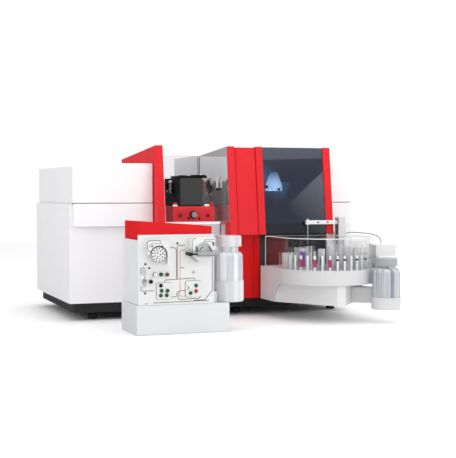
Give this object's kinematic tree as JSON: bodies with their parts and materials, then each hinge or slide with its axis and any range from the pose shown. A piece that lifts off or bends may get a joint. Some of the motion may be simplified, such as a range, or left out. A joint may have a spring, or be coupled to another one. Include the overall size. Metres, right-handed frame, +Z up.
{
  "type": "atomic absorption spectrometer",
  "caption": "Red and white bench atomic absorption spectrometer with a flame bay, a furnace bay, a front autosampler and a separate hydride module.",
  "frame": {"origin": "centre of the whole object's box, on the table", "axes": "+X to the instrument's right seen from the front, +Y to its back, +Z up; its front faces -Y"},
  "size_m": [1.181, 1.1612, 0.656],
  "materials": {
    "painted_white": "satin white paint",
    "moulded_white": "moulded white plastic",
    "pale_grey": "satin pale grey",
    "red": "gloss red lacquer",
    "dark_red": "gloss dark red lacquer",
    "black": "matt black",
    "graphite": "satin dark grey",
    "smoked": "smoked clear plastic",
    "clear": "clear",
    "steel": "polished stainless steel",
    "anodised_red": "red anodised",
    "aluminium": "satin",
    "rubber": "black"
  },
  "bodies": {
    "instrument": {"beam_port": "graphite", "cell_base": "anodised_red", "cell_front_plate": "graphite", "cell_housing": "black", "cell_top_plate": "black", "center_cabinet": "graphite", "center_lower_panel": "dark_red", "center_wall": "red", "flame_liner": "steel", "foot_front_left": "rubber", "foot_front_right": "rubber", "foot_rear_left": "rubber", "foot_rear_right": "rubber", "furnace_base": "graphite", "furnace_head": "aluminium", "furnace_liner": "graphite", "graphite_tube": "graphite", "left_cabinet": "painted_white", "left_fascia": "painted_white", "left_wall": "red", "lid_hinge": "steel", "lower_front_panel": "pale_grey", "module_base": "painted_white", "module_body": "pale_grey", "module_bottle_cup": "clear", "module_cap": "red", "module_plate": "moulded_white", "monochromator": "black", "plinth": "black", "rear_cover": "painted_white", "rear_hood": "red", "right_cabinet": "painted_white", "right_fascia": "painted_white", "right_lid": "painted_white", "right_wall": "red", "rinse_bottle_holder": "moulded_white", "rinse_hose": "rubber", "rinse_pump": "moulded_white", "sampler_base": "moulded_white", "sampler_bracket": "black", "sampler_cover": "clear", "sampler_housing": "moulded_white", "second_pump": "moulded_white", "turret_stand": "aluminium"},
    "left_lid": {"left_lid": "painted_white"},
    "lamp_turret": {"lamp_turret": "aluminium"},
    "furnace_window": {"furnace_window": "smoked"},
    "furnace_electrode": {"furnace_electrode": "aluminium"},
    "power_switch": {"power_switch": "black"},
    "cell_knob": {"cell_knob": "aluminium"},
    "sample_tray": {"sample_tray": "moulded_white"},
    "sampler_column": {"sampler_column": "moulded_white"},
    "sampler_arm": {"sampler_arm": "moulded_white"},
    "rinse_bottle": {"rinse_bottle": "clear"},
    "rinse_bottle_cap": {"rinse_bottle_cap": "pale_grey"},
    "module_bottle": {"module_bottle": "clear"},
    "module_bottle_cap": {"module_bottle_cap": "clear"},
    "pump_rotor": {"pump_rotor": "moulded_white"},
    "pump_clamp": {"pump_clamp": "pale_grey"},
    "clamp_lever": {"clamp_lever": "moulded_white"}
  },
  "joints": [
    {"name": "left_lid_hinge", "type": "hinge", "parent": "instrument", "child": "left_lid", "pos_m": [-0.43025, 0.54725, 0.4393], "axis": [-1, 0, 0], "range_deg": [0, 70]},
    {"name": "lamp_turret_turn", "type": "hinge", "parent": "instrument", "child": "lamp_turret", "pos_m": [-0.5045, 0.11491, 0.4707], "axis": [1, 0, 0], "continuous": true},
    {"name": "furnace_window_slide", "type": "slide", "parent": "instrument", "child": "furnace_window", "axis": [0, 0.1197, 0.9928], "range_m": [0, 0.2]},
    {"name": "furnace_electrode_slide", "type": "slide", "parent": "instrument", "child": "furnace_electrode", "axis": [1, 0, 0], "range_m": [0, 0.012]},
    {"name": "power_switch_rock", "type": "hinge", "parent": "instrument", "child": "power_switch", "pos_m": [-0.1845, 0.56465, 0.136], "axis": [1, 0, 0], "range_deg": [-7, 7]},
    {"name": "cell_knob_turn", "type": "hinge", "parent": "instrument", "child": "cell_knob", "pos_m": [-0.11325, -0.10365, 0.3941], "axis": [0, -1, 0], "range_deg": [0, 270]},
    {"name": "sample_tray_turn", "type": "hinge", "parent": "instrument", "child": "sample_tray", "pos_m": [0.339, -0.32835, 0.1515], "axis": [0, 0, 1], "continuous": true},
    {"name": "arm_swing", "type": "hinge", "parent": "instrument", "child": "sampler_column", "pos_m": [0.473, -0.18135, 0.1933], "axis": [0, 0, 1], "range_deg": [0, 60]},
    {"name": "arm_lift", "type": "slide", "parent": "sampler_column", "child": "sampler_arm", "axis": [0, 0, 1], "range_m": [-0.036, 0]},
    {"name": "rinse_bottle_lift", "type": "slide", "parent": "instrument", "child": "rinse_bottle", "axis": [0, 0, 1], "range_m": [0, 0.05]},
    {"name": "rinse_cap_turn", "type": "hinge", "parent": "rinse_bottle", "child": "rinse_bottle_cap", "pos_m": [0.4985, -0.50835, 0.2096], "axis": [0, 0, 1], "continuous": true},
    {"name": "module_bottle_lift", "type": "slide", "parent": "instrument", "child": "module_bottle", "axis": [0, 0, 1], "range_m": [0, 0.08]},
    {"name": "module_cap_turn", "type": "hinge", "parent": "module_bottle", "child": "module_bottle_cap", "pos_m": [-0.113, -0.48335, 0.2913], "axis": [0, 0, 1], "continuous": true},
    {"name": "pump_rotor_turn", "type": "hinge", "parent": "instrument", "child": "pump_rotor", "pos_m": [-0.39033, -0.54065, 0.27106], "axis": [0, 1, 0], "continuous": true},
    {"name": "pump_clamp_lift", "type": "slide", "parent": "instrument", "child": "pump_clamp", "axis": [0, 0, 1], "range_m": [0, 0.015]},
    {"name": "clamp_lever_turn", "type": "hinge", "parent": "instrument", "child": "clamp_lever", "pos_m": [-0.285, -0.57005, 0.27206], "axis": [0, -1, 0], "range_deg": [0, 80]}
  ]
}
